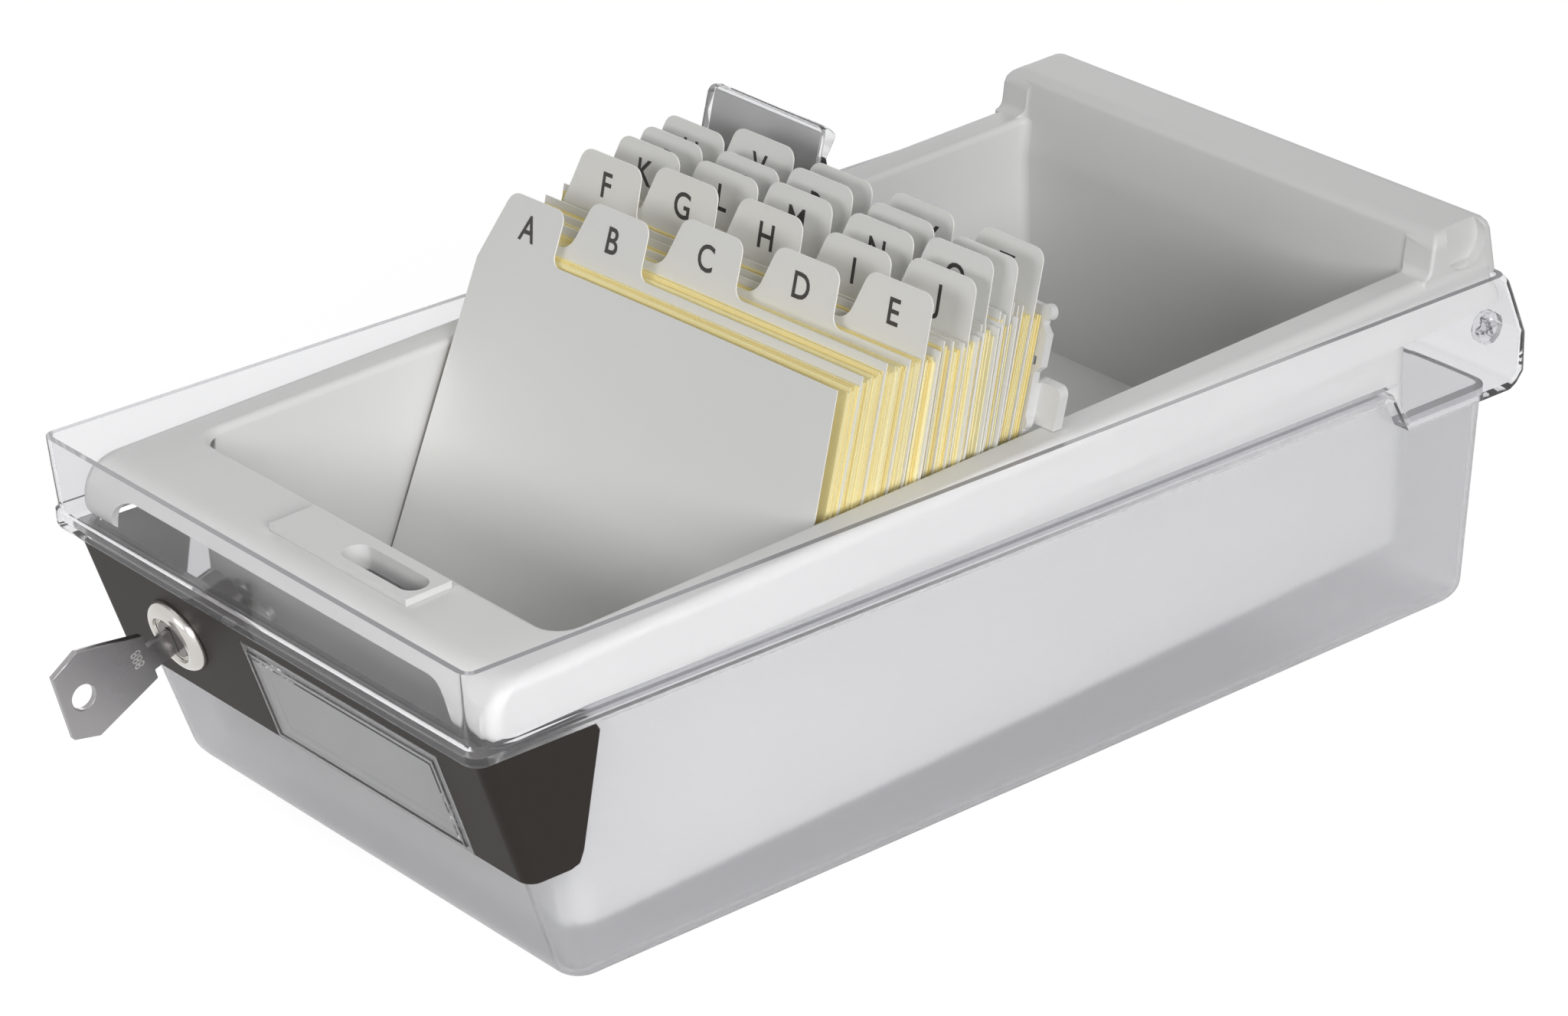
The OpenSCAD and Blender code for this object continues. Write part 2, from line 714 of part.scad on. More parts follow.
// The cards behind guide i, as one block that fills the space up to the next guide
module card_block(i) {
    low = guide_u(i) + guide_t / cos(lean(i)) + paper_gap;
    high = guide_u(i + 1) - paper_gap;
    rise = card_h * min(cos(lean(i)), cos(lean(i + 1))) - block_drop;
    on_floor() translate([card_w / 2 - block_side, 0, paper_gap]) rotate([90, 0, -90])
        linear_extrude(card_w - 2 * block_side) polygon([
            [-low, 0], [-high, 0],
            [-high - rise * tan(lean(i + 1)), rise], [-low - rise * tan(lean(i)), rise]
        ]);
}

module guide_a() color([0.9, 0.9, 0.88]) guide(0);
module guides_b_e() color([0.9, 0.9, 0.88]) for (i = [1 : 4]) guide(i);
module guides_f_j() color([0.9, 0.9, 0.88]) for (i = [5 : 9]) guide(i);
module guides_k_o() color([0.9, 0.9, 0.88]) for (i = [10 : 14]) guide(i);
module guides_p_t() color([0.9, 0.9, 0.88]) for (i = [15 : 19]) guide(i);
module guides_u_z() color([0.9, 0.9, 0.88]) for (i = [20 : 24]) guide(i);
module cards_a_e() color([0.96, 0.89, 0.6]) for (i = [0 : 4]) card_block(i);
module cards_f_j() color([0.96, 0.89, 0.6]) for (i = [5 : 9]) card_block(i);
module cards_k_o() color([0.96, 0.89, 0.6]) for (i = [10 : 14]) card_block(i);
module cards_p_t() color([0.96, 0.89, 0.6]) for (i = [15 : 19]) card_block(i);
module cards_u_z() color([0.96, 0.89, 0.6]) for (i = [20 : 24]) card_block(i);

// The support's own plane: X across, Y behind its front face, Z up its slope
module on_support() on_floor() translate([0, file_front + file_l + paper_gap, 0]) rotate([-card_lean, 0, 0])
    translate([0, 0, (support_t + sign_t + 2 * rail_t) * tan(card_lean) + paper_gap]) children();

// One half of the support's outline, from its foot up, with a bump under the knob
half_outline = [
    [support_foot_half, 0], [support_half, floor_under_rim],
    [support_half, support_h - bump_drop - bump_l],
    [support_half + bump_out, support_h - bump_drop - bump_l + bump_out],
    [support_half + bump_out, support_h - bump_drop - bump_out],
    [support_half, support_h - bump_drop],
    [support_half, support_h - knob_drop], [support_half - knob_drop, support_h]
];

module support_plate() difference() {
    translate([0, support_t, 0]) rotate([90, 0, 0]) linear_extrude(support_t) {
        polygon(concat(
            half_outline,
            [for (k = [len(half_outline) - 1 : -1 : 0]) [-half_outline[k].x, half_outline[k].y]]
        ));
        for (side = [-1, 1]) {
            translate([side * support_half, support_h - knob_drop]) circle(r = knob_r);
            translate([side * (support_half - foot_knob_in), foot_knob_up]) circle(r = foot_knob_r);
        }
    }
    for (side = [-1, 1])
        translate([side * (support_half - peep_in / 2) - peep_w / 2, -overrun, support_h - peep_drop])
        cube([peep_w, support_t + 2 * overrun, peep_h]);
}

module card_support() color([0.88, 0.88, 0.87]) {
    on_support() {
        support_plate();
        for (x = [sign_x - rail_w - clip_gap, sign_x + sign_w + clip_gap])
            translate([x, 0, rail_low]) cube([rail_w, support_t + sign_t + 2 * clip_gap + rail_t, rail_h]);
        for (x = [sign_x - rail_w - clip_gap, sign_x + sign_w + clip_gap - rail_lip])
            translate([x, support_t + sign_t + 2 * clip_gap, rail_low])
                cube([rail_w + rail_lip, rail_t, rail_h]);
        translate([sign_x - rail_w - clip_gap, 0, rail_low - rail_t])
            cube([sign_w + 2 * (rail_w + clip_gap), support_t + sign_t + 2 * clip_gap + rail_t, rail_t]);
    }
    for (side = [-1, 1]) ear(side);
}

// Where the plate's front face passes the rim, and its lean seen from the tray
file_end = file_front + file_l + paper_gap;
rim_up = (floor_under_rim + file_end * sin(tray_tilt))
    / (cos(tray_tilt) - tan(card_lean) * sin(tray_tilt));
plate_v = (file_end + rim_up * tan(card_lean)) * cos(tray_tilt) + rim_up * sin(tray_tilt);
tray_lean = card_lean + tray_tilt;

// An upright slab over the rim between two distances from the plate's front face
module rim_slab(low, high, x, w) in_tray() translate([x, 0, seat_gap]) rotate([90, 0, 90])
    linear_extrude(w) polygon([
        for (p = [[low, 0], [high, 0], [high, ear_h], [low, ear_h]])
            [plate_v + p.x / cos(tray_lean) + (p.y + seat_gap) * tan(tray_lean), p.y]
    ]);

// An ear with round upper corners rides on the side rim, and a web behind the plate carries it
module ear(side) {
    inner = cavity_half - ear_in;
    web = support_half - inner;
    intersection() {
        rim_slab(ear_back - ear_t, ear_back, side > 0 ? inner : -inner - ear_w, ear_w);
        in_tray() translate([side * inner - (side > 0 ? 0 : ear_w), tray_l, 0]) rotate([90, 0, 0])
            linear_extrude(tray_l) polygon(concat(
                [[0, -overrun], [ear_w, -overrun]],
                arc(ear_w - ear_corner, seat_gap + ear_h - ear_corner, ear_corner, 0, 90),
                arc(ear_corner, seat_gap + ear_h - ear_corner, ear_corner, 90, 180)
            ));
    }
    rim_slab(support_t / 2, ear_back, side > 0 ? inner : -support_half, web);
}

// The clear sign slides up out of its rails; behind, it has a rib, a waist and a flared upper edge
module sign_holder() color([0.88, 0.9, 0.93, 0.5]) on_support() difference() {
    translate([sign_x, support_t + clip_gap, 0]) intersection() {
        rotate([90, 0, 90]) linear_extrude(sign_w) polygon([
            [0, rail_low + clip_gap], [sign_t, rail_low + clip_gap], [sign_t, support_h],
            [sign_t + sign_flare, sign_top - rib_down], [sign_t - sign_waist, sign_top - waist_down],
            [sign_t + sign_flare, sign_top - flare_down], [sign_t, sign_top], [0, sign_top]
        ]);
        translate([0, sign_t + 2 * sign_flare, 0]) rotate([90, 0, 0]) linear_extrude(sign_t + 3 * sign_flare)
            polygon(concat(
                [[0, 0], [sign_w, 0]],
                arc(sign_w - sign_corner, sign_top - sign_corner, sign_corner, 0, 90),
                arc(sign_corner, sign_top - sign_corner, sign_corner, 90, 180)
            ));
    }
    translate([sign_x + sign_rim, support_t + clip_gap + sign_t / 3, rail_low + clip_gap + sign_rim])
        cube([sign_w - 2 * sign_rim, sign_t / 3, sign_top - rail_low]);
}

module sign_insert() color([0.93, 0.93, 0.92]) on_support()
    translate([sign_x + sign_rim + clip_gap, support_t + clip_gap + sign_t / 3 + clip_gap,
        rail_low + 2 * clip_gap + sign_rim])
    cube([sign_w - 2 * (sign_rim + clip_gap), sign_t / 3 - 2 * clip_gap, sign_top - rail_low - 2 * sign_rim]);

cover_shell();
front_panel();
label_card();
label_window();
lock_housing();
lock_nut();
lock_plug();
lock_wafers();
lock_cam();
cam_screw();
key();
tray_shell();
tray_rim();
striker_plate();
card_support();
sign_holder();
sign_insert();
guide_a();
guides_b_e();
guides_f_j();
guides_k_o();
guides_p_t();
guides_u_z();
cards_a_e();
cards_f_j();
cards_k_o();
cards_p_t();
cards_u_z();
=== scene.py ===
import math
import random

import bmesh
import bpy
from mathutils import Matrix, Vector


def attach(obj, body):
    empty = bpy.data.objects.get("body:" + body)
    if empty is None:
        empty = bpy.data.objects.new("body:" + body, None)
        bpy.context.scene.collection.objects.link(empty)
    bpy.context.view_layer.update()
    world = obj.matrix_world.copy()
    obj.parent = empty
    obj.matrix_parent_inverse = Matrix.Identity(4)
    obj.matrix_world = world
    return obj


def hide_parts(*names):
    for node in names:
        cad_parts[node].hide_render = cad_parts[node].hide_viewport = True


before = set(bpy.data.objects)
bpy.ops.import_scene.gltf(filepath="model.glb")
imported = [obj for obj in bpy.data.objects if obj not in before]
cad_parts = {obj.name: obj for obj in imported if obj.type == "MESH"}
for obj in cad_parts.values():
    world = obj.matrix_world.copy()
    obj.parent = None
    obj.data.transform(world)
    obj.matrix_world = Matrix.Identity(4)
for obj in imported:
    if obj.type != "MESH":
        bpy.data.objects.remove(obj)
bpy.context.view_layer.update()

scene = bpy.context.scene
mm = 0.001

# the drawer is measured in millimetres from the cover's front edge, and shown in metres
cover = {
    "length": 383.2, "half": 91.0, "wall": 1.8, "ledge": 80.0, "skirt": 26.5, "foot": 8.0,
    "lean": 19.2, "tubHalf": 85.5, "tubFront": 37.759, "tubRear": 373.1, "draft": 1.5,
    "bandLean": 1.8, "rimRear": 371.0, "bulge": 12.2, "lipIn": 0.7,
    "pocketLow": 69.4, "pocketLength": 56.0, "pocketStep": 6.0, "tubCorner": 6.0, "bandCorner": 4.0,
    "leastCorner": 1, "cornerSteps": 9, "filletSteps": 8, "edge": 0.45, "sharpAbove": 24,
    # the band above the ledge: heights as shares, at the sides and at the pocket, and how far it stands out
    "ups": (0, 0.04, 0.19, 0.22, 0.7, 0.89, 1),
    "pocketUps": (0, 0.04, 0.12, 0.43, 0.78, 0.92, 1),
    "bulges": (0.64, 0.78, 0.97, 1, 0.48, 0.26, 0),
    "outerInsets": (0.6, 0, 0, 1, 0.35, 0.14, 0),
    "innerInsets": (1, 1, 1, 1, 0.35, 0.14, 0),
    # where the cover's frosted and clear finishes and its painted shade at the rim and foot give way to each
    # other, and the hole for the lock
    "seamDown": 1, "pocketSeam": 67.5, "pocketFront": 2, "rimBand": 0.2, "footShare": 0.5,
    "facingDown": -0.15, "bore": 9.05, "boreReach": 8, "boreAxis": 0.001,
}
tray = {"front": 9.0, "z": 98.0, "tilt": 2.3245, "floorDown": 59.5, "edge": 0.45, "sharpAbove": 32}

# welds in metres, angles in degrees
meshing = {"weld": 2e-6, "unionWeld": 4e-6, "flatBelow": 0.4, "sharpMore": 4, "sheetSharp": 30}
lettering = {"steps": 4, "bolder": 0.012, "capHigh": 0.73}


def inCover(x, y, z):
    return Vector((x, y - cover["length"] / 2, z)) * mm


def onFloor(x, u, h):
    t = math.radians(tray["tilt"])
    return inCover(x, tray["front"] + tray["floorDown"] * math.sin(t) + u,
                   tray["z"] - tray["floorDown"] * math.cos(t) + h)


def onFront(x, up, out):
    a = math.radians(cover["lean"])
    return inCover(x, cover["tubFront"] - up * math.sin(a) - out * math.cos(a),
                   up * math.cos(a) - out * math.sin(a))


# mesh helpers
def makeObject(name, points, faces):
    mesh = bpy.data.meshes.new(name)
    mesh.from_pydata([tuple(p) for p in points], [], faces)
    mesh.update()
    shape = bpy.data.objects.new(name, mesh)
    scene.collection.objects.link(shape)
    turnOut(mesh)
    return shape


def turnOut(mesh):
    work = bmesh.new()
    work.from_mesh(mesh)
    bmesh.ops.recalc_face_normals(work, faces=work.faces)
    work.to_mesh(mesh)
    work.free()


def arcPoints(cx, cy, r, start, end, steps):
    angles = [math.radians(start + (end - start) * i / steps) for i in range(steps + 1)]
    return [(cx + r * math.cos(a), cy + r * math.sin(a)) for a in angles]


def loft(name, rings):
    count = len(rings[0])
    points = [p for ring in rings for p in ring]
    last = (len(rings) - 1) * count
    faces = [tuple(range(count - 1, -1, -1)), tuple(range(last, last + count))]
    for k in range(len(rings) - 1):
        for i in range(count):
            j = (i + 1) % count
            faces.append((k * count + i, k * count + j, (k + 1) * count + j, (k + 1) * count + i))
    return makeObject(name, points, faces)


def lathe(name, profile, place, steps=64):
    rings = []
    for i in range(steps):
        a = 2 * math.pi * i / steps
        rings.append([place(r * math.cos(a), r * math.sin(a), out) for r, out in profile])
    count = len(profile)
    faces = []
    for i in range(steps):
        k = (i + 1) % steps
        for j in range(count):
            n = (j + 1) % count
            faces.append((i * count + j, k * count + j, k * count + n, i * count + n))
    return makeObject(name, [p for ring in rings for p in ring], faces)


def bakedMesh(shape):
    bpy.context.view_layer.update()
    return bpy.data.meshes.new_from_object(shape.evaluated_get(bpy.context.evaluated_depsgraph_get()))


def bakeShape(shape):
    mesh = bakedMesh(shape)
    shape.modifiers.clear()
    old = shape.data
    shape.data = mesh
    bpy.data.meshes.remove(old)
    return shape


def cutAway(shape, cutter, keep="DIFFERENCE"):
    step = shape.modifiers.new("cut", "BOOLEAN")
    step.operation = keep
    step.solver = "EXACT"
    step.object = cutter
    bakeShape(shape)
    bpy.data.objects.remove(cutter)
    return shape


def roundEdges(shape, width, above=28, steps=2):
    if width > 0:
        step = shape.modifiers.new("round", "BEVEL")
        step.width = width * mm
        step.segments = steps
        step.limit_method = "ANGLE"
        step.angle_limit = math.radians(above)
        step.use_clamp_overlap = True
        bakeShape(shape)
    shape.data.shade_smooth()
    shape.data.set_sharp_from_angle(angle=math.radians(above + meshing["sharpMore"]))
    step = shape.modifiers.new("flatten", "WEIGHTED_NORMAL")
    step.keep_sharp = True
    return bakeShape(shape)


def weldMesh(mesh, gap):
    work = bmesh.new()
    work.from_mesh(mesh)
    bmesh.ops.remove_doubles(work, verts=work.verts, dist=gap)
    bmesh.ops.dissolve_limit(work, angle_limit=math.radians(meshing["flatBelow"]), verts=work.verts,
                             edges=work.edges)
    work.to_mesh(mesh)
    work.free()


def copyNode(node, name, width, above=28, steps=2):
    shape = bpy.data.objects.new(name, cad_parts[node].data.copy())
    shape.data.materials.clear()
    scene.collection.objects.link(shape)
    weldMesh(shape.data, meshing["weld"])
    turnOut(shape.data)
    if "custom_normal" in shape.data.attributes:
        shape.data.attributes.remove(shape.data.attributes["custom_normal"])
    return roundEdges(shape, width, above, steps)


def sheetObject(name, work):
    mesh = bpy.data.meshes.new(name)
    work.to_mesh(mesh)
    work.free()
    shape = bpy.data.objects.new(name, mesh)
    scene.collection.objects.link(shape)
    mesh.shade_smooth()
    mesh.set_sharp_from_angle(angle=math.radians(meshing["sheetSharp"]))
    return shape


def flatText(text, high, wide):
    # points and faces of a word whose capitals are this high, standing on a base line
    curve = bpy.data.curves.new("letter", "FONT")
    curve.body = text
    curve.resolution_u = lettering["steps"]
    curve.offset = lettering["bolder"]
    shape = bpy.data.objects.new("letter", curve)
    scene.collection.objects.link(shape)
    mesh = bakedMesh(shape)
    points = [(v.co.x, v.co.y) for v in mesh.vertices]
    faces = [tuple(p.vertices) for p in mesh.polygons]
    bpy.data.objects.remove(shape)
    bpy.data.curves.remove(curve)
    bpy.data.meshes.remove(mesh)
    scale = high / lettering["capHigh"]
    middle = (min(p[0] for p in points) + max(p[0] for p in points)) / 2
    return [((x - middle) * scale * wide, y * scale) for x, y in points], faces


def settle(shape, body, nodes, materials):
    for material in materials:
        shape.data.materials.append(material)
    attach(shape, body)
    if nodes:
        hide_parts(*nodes)


def dressNodes(rows):
    for node, name, body, slot, look, width in rows:
        settle(copyNode(node, name, width), body, [node], [finishes[look]])


# materials
def newTree(material):
    material.use_nodes = True
    tree = material.node_tree
    tree.nodes.clear()
    return tree, tree.nodes.new("ShaderNodeOutputMaterial")


def addNode(tree, kind, **values):
    node = tree.nodes.new(kind)
    for key, value in values.items():
        setattr(node, key, value)
    return node


grainShape = {"fineDetail": 3, "slowScale": 14, "slowDetail": 4, "noiseMiddle": 0.5}


def grainGroup():
    group = bpy.data.node_groups.new("mouldGrain", "ShaderNodeTree")
    face = group.interface
    for label, kind, value in (
            ("Tone", "NodeSocketColor", (0.8, 0.8, 0.8, 1)), ("Fineness", "NodeSocketFloat", 900.0),
            ("MottleAndSheen", "NodeSocketFloat", 0.02), ("Roughness", "NodeSocketFloat", 0.4),
            ("Spread", "NodeSocketFloat", 0.06)):
        face.new_socket(name=label, in_out="INPUT", socket_type=kind).default_value = value
    face.new_socket(name="Colour", in_out="OUTPUT", socket_type="NodeSocketColor")
    face.new_socket(name="Roughness", in_out="OUTPUT", socket_type="NodeSocketFloat")
    face.new_socket(name="Height", in_out="OUTPUT", socket_type="NodeSocketFloat")
    into = group.nodes.new("NodeGroupInput")
    out = group.nodes.new("NodeGroupOutput")
    place = group.nodes.new("ShaderNodeTexCoord")
    fine = addNode(group, "ShaderNodeTexNoise")
    fine.inputs["Detail"].default_value = grainShape["fineDetail"]
    group.links.new(place.outputs["Object"], fine.inputs["Vector"])
    group.links.new(into.outputs["Fineness"], fine.inputs["Scale"])
    slow = addNode(group, "ShaderNodeTexNoise")
    slow.inputs["Scale"].default_value = grainShape["slowScale"]
    slow.inputs["Detail"].default_value = grainShape["slowDetail"]
    group.links.new(place.outputs["Object"], slow.inputs["Vector"])
    shift = addNode(group, "ShaderNodeMath", operation="SUBTRACT")
    group.links.new(slow.outputs["Fac"], shift.inputs[0])
    shift.inputs[1].default_value = grainShape["noiseMiddle"]
    # the slow noise raises and lowers the tone by the mottle: random tone for most looks, painted streaks of
    # reflection for the label paper
    scale = addNode(group, "ShaderNodeMath", operation="MULTIPLY_ADD")
    group.links.new(shift.outputs[0], scale.inputs[0])
    group.links.new(into.outputs["MottleAndSheen"], scale.inputs[1])
    scale.inputs[2].default_value = 1.0
    tone = addNode(group, "ShaderNodeVectorMath", operation="SCALE")
    group.links.new(into.outputs["Tone"], tone.inputs[0])
    group.links.new(scale.outputs[0], tone.inputs["Scale"])
    group.links.new(tone.outputs[0], out.inputs["Colour"])
    rough = addNode(group, "ShaderNodeMath", operation="MULTIPLY_ADD")
    group.links.new(shift.outputs[0], rough.inputs[0])
    group.links.new(into.outputs["Spread"], rough.inputs[1])
    group.links.new(into.outputs["Roughness"], rough.inputs[2])
    group.links.new(rough.outputs[0], out.inputs["Roughness"])
    group.links.new(fine.outputs["Fac"], out.inputs["Height"])
    return group


mouldGrain = grainGroup()


# what a look has unless it says otherwise
solidLook = {"fineness": 900, "mottleAndSheen": 0.03, "spread": 0.08, "bump": 0.06, "bumpDeep": 0.0002, "metal": 0,
             "shine": 0.5}
clearLook = {"fineness": 400, "mottleAndSheen": 0.01, "spread": 0.02, "rimBlend": 0.35, "rimPower": 2.5, "ior": 1.49,
             "passes": (0.9, 0.9, 0.9)}


def addGrain(tree, skin, look):
    grain = addNode(tree, "ShaderNodeGroup", node_tree=mouldGrain)
    grain.inputs["Fineness"].default_value = look["fineness"]
    grain.inputs["MottleAndSheen"].default_value = look["mottleAndSheen"]
    grain.inputs["Roughness"].default_value = look["rough"]
    grain.inputs["Spread"].default_value = look["spread"]
    if "toneLayer" in look:
        layer = addNode(tree, "ShaderNodeAttribute", attribute_name=look["toneLayer"])
        tree.links.new(layer.outputs["Color"], grain.inputs["Tone"])
    else:
        grain.inputs["Tone"].default_value = (*look["tone"], 1)
    tree.links.new(grain.outputs["Roughness"], skin.inputs["Roughness"])
    return grain


def solidMaterial(name, look):
    look = {**solidLook, **look}
    material = bpy.data.materials.new(name)
    tree, out = newTree(material)
    skin = tree.nodes.new("ShaderNodeBsdfPrincipled")
    skin.inputs["Metallic"].default_value = look["metal"]
    skin.inputs["Specular IOR Level"].default_value = look["shine"]
    grain = addGrain(tree, skin, look)
    bump = tree.nodes.new("ShaderNodeBump")
    bump.inputs["Strength"].default_value = look["bump"]
    bump.inputs["Distance"].default_value = look["bumpDeep"]
    tree.links.new(grain.outputs["Colour"], skin.inputs["Base Color"])
    tree.links.new(grain.outputs["Height"], bump.inputs["Height"])
    tree.links.new(bump.outputs["Normal"], skin.inputs["Normal"])
    tree.links.new(skin.outputs[0], out.inputs["Surface"])
    return material


def clearMaterial(name, look):
    # plastic whose colour is darkened towards its edges, a painted dark reflection of the surroundings, and
    # which lets the lamps' light through
    look = {**clearLook, **look}
    material = bpy.data.materials.new(name)
    tree, out = newTree(material)
    skin = tree.nodes.new("ShaderNodeBsdfPrincipled")
    skin.inputs["IOR"].default_value = look["ior"]
    skin.inputs["Transmission Weight"].default_value = look["clear"]
    grain = addGrain(tree, skin, look)
    rim = tree.nodes.new("ShaderNodeLayerWeight")
    rim.inputs["Blend"].default_value = look["rimBlend"]
    fade = addNode(tree, "ShaderNodeMath", operation="POWER")
    fade.inputs[1].default_value = look["rimPower"]
    tree.links.new(rim.outputs["Facing"], fade.inputs[0])
    rimShading = addNode(tree, "ShaderNodeMix", data_type="RGBA")
    tree.links.new(fade.outputs[0], rimShading.inputs[0])
    tree.links.new(grain.outputs["Colour"], rimShading.inputs[6])
    rimShading.inputs[7].default_value = (*look["paintedRimShade"], 1)
    tree.links.new(rimShading.outputs[2], skin.inputs["Base Color"])
    lamps = tree.nodes.new("ShaderNodeBsdfTransparent")
    lamps.inputs["Color"].default_value = (*look["passes"], 1)
    path = tree.nodes.new("ShaderNodeLightPath")
    mix = tree.nodes.new("ShaderNodeMixShader")
    tree.links.new(path.outputs["Is Shadow Ray"], mix.inputs[0])
    tree.links.new(skin.outputs[0], mix.inputs[1])
    tree.links.new(lamps.outputs[0], mix.inputs[2])
    tree.links.new(mix.outputs[0], out.inputs["Surface"])
    return material


looks = {
    "trayPlastic": {"tone": (0.74, 0.74, 0.735), "rough": 0.5, "bump": 0.05, "shine": 0.35},
    "guidePlastic": {"tone": (0.83, 0.83, 0.81), "rough": 0.5, "bump": 0.04, "mottleAndSheen": 0.02},
    # the guides' cut edges, a lighter cream: a painted highlight along their outlines
    "guideEdgeHighlight": {"tone": (0.93, 0.92, 0.88), "rough": 0.5},
    "letterInk": {"tone": (0.04, 0.036, 0.034), "rough": 0.55},
    "panelBrown": {"tone": (0.036, 0.030, 0.027), "rough": 0.45, "bump": 0.1, "shine": 0.1},
    # label card and sign insert: a strong mottle paints soft streaks of reflection over the grey paper
    "labelPaper": {"tone": (0.36, 0.36, 0.355), "rough": 0.7, "mottleAndSheen": 0.7},
    "lockChrome": {"tone": (0.6, 0.58, 0.55), "rough": 0.17, "metal": 1, "bump": 0.01},
    "plugMetal": {"tone": (0.16, 0.15, 0.14), "rough": 0.28, "metal": 1, "bump": 0.04},
    "keySteel": {"tone": (0.36, 0.35, 0.355), "rough": 0.27, "metal": 1, "bump": 0.04, "spread": 0.14},
    "keyBright": {"tone": (0.86, 0.85, 0.82), "rough": 0.2, "metal": 1},
    "innerZinc": {"tone": (0.6, 0.6, 0.58), "rough": 0.35, "metal": 1},
    # each card has its own tone, kept in the mesh
    "cardPaper": {"toneLayer": "tone", "rough": 0.75, "fineness": 1500, "mottleAndSheen": 0.1, "spread": 0.06,
                  "bump": 0.1, "shine": 0.3},
}
# the rim tone of each clear look is the painted dark reflection that darkens it towards its edges
clearLooks = {
    "clearSkirt": {"tone": (0.885, 0.885, 0.895), "rough": 0.03, "clear": 0.97, "paintedRimShade": (0.45, 0.44, 0.48),
                   "ior": 1.24, "passes": (0.9, 0.895, 0.895)},
    # the skirt's top edge: a darker, half-clear grey, painted shade for the grey line along its rim
    "skirtRimPaintedShade": {"tone": (0.66, 0.66, 0.69), "rough": 0.15, "clear": 0.5, "paintedRimShade": (0.4, 0.39, 0.42),
                 "ior": 1.3},
    # the tub's down-facing foot: a darker grey, painted shade under the tub
    "tubFootShade": {"tone": (0.6, 0.6, 0.62), "rough": 0.3, "clear": 0.85, "paintedRimShade": (0.3, 0.3, 0.33),
                "rimPower": 1.5},
    "frostedTub": {"tone": (0.81, 0.81, 0.825), "rough": 0.24, "clear": 0.9, "paintedRimShade": (0.26, 0.26, 0.285),
                   "rimPower": 1.7, "passes": (0.96, 0.96, 0.96)},
    "clearWindow": {"tone": (0.9, 0.9, 0.91), "rough": 0.05, "clear": 0.97, "paintedRimShade": (0.45, 0.45, 0.48),
                    "ior": 1.22},
}
finishes = {name: solidMaterial(name, look) for name, look in looks.items()}
finishes.update({name: clearMaterial(name, look) for name, look in clearLooks.items()})
print("materials ready")

# camera, floor, world and lamps
view = {"place": (0.9560, -0.8444, 0.6761), "turn": (64.12, 0.0, 48.94), "lens": 117.56, "sensor": 36,
        "near": 0.05}
studio = {"world": 0.14, "bouncesBelow": 0.5, "floorTone": 0.3, "floorGlow": 0.86, "floorHalf": 6,
          "floorDown": 0.0004, "floorRough": 0.9, "floorShine": 0.1}
lampSet = {
    "rightPanel": {"place": (2.7, -0.95, 1.05), "aim": (0, 0.0, 0.05), "size": (1.8, 1.1), "power": 57},
    "frontPanel": {"place": (0.35, -1.5, 0.65), "aim": (0, -0.1, 0.1), "size": (0.7, 0.4), "power": 5.5},
    "topPanel": {"place": (-0.1, -0.1, 1.9), "aim": (0, 0, 0), "size": (1.2, 1.2), "power": 5.5},
    "rearPanel": {"place": (-2.2, 1.5, 0.9), "aim": (0, 0, 0.05), "size": (1.6, 1.0), "power": 11},
}


def makeCamera():
    data = bpy.data.cameras.new("camera")
    data.lens = view["lens"]
    data.sensor_width = view["sensor"]
    data.clip_start = view["near"]
    cam = bpy.data.objects.new("camera", data)
    cam.location = view["place"]
    cam.rotation_euler = [math.radians(a) for a in view["turn"]]
    scene.collection.objects.link(cam)
    scene.camera = cam
    scene.view_settings.view_transform = "Standard"


def seenRays(tree):
    # 1 for rays that see the surroundings straight, mirrored or through clear plastic, before a diffuse bounce
    path = tree.nodes.new("ShaderNodeLightPath")
    first = addNode(tree, "ShaderNodeMath", operation="MAXIMUM")
    tree.links.new(path.outputs["Is Camera Ray"], first.inputs[0])
    tree.links.new(path.outputs["Is Glossy Ray"], first.inputs[1])
    both = addNode(tree, "ShaderNodeMath", operation="MAXIMUM")
    tree.links.new(first.outputs[0], both.inputs[0])
    tree.links.new(path.outputs["Is Transmission Ray"], both.inputs[1])
    direct = addNode(tree, "ShaderNodeMath", operation="LESS_THAN")
    tree.links.new(path.outputs["Diffuse Depth"], direct.inputs[0])
    direct.inputs[1].default_value = studio["bouncesBelow"]
    seen = addNode(tree, "ShaderNodeMath", operation="MULTIPLY")
    tree.links.new(both.outputs[0], seen.inputs[0])
    tree.links.new(direct.outputs[0], seen.inputs[1])
    return seen.outputs[0]


def makeWorld():
    world = bpy.data.worlds.new("studio")
    scene.world = world
    world.use_nodes = True
    tree = world.node_tree
    tree.nodes.clear()
    out = tree.nodes.new("ShaderNodeOutputWorld")
    plain, white = (tree.nodes.new("ShaderNodeBackground") for side in range(2))
    plain.inputs["Strength"].default_value = studio["world"]
    for sky in (plain, white):
        sky.inputs["Color"].default_value = (1, 1, 1, 1)
    mix = tree.nodes.new("ShaderNodeMixShader")
    tree.links.new(seenRays(tree), mix.inputs[0])
    tree.links.new(plain.outputs[0], mix.inputs[1])
    tree.links.new(white.outputs[0], mix.inputs[2])
    tree.links.new(mix.outputs[0], out.inputs["Surface"])


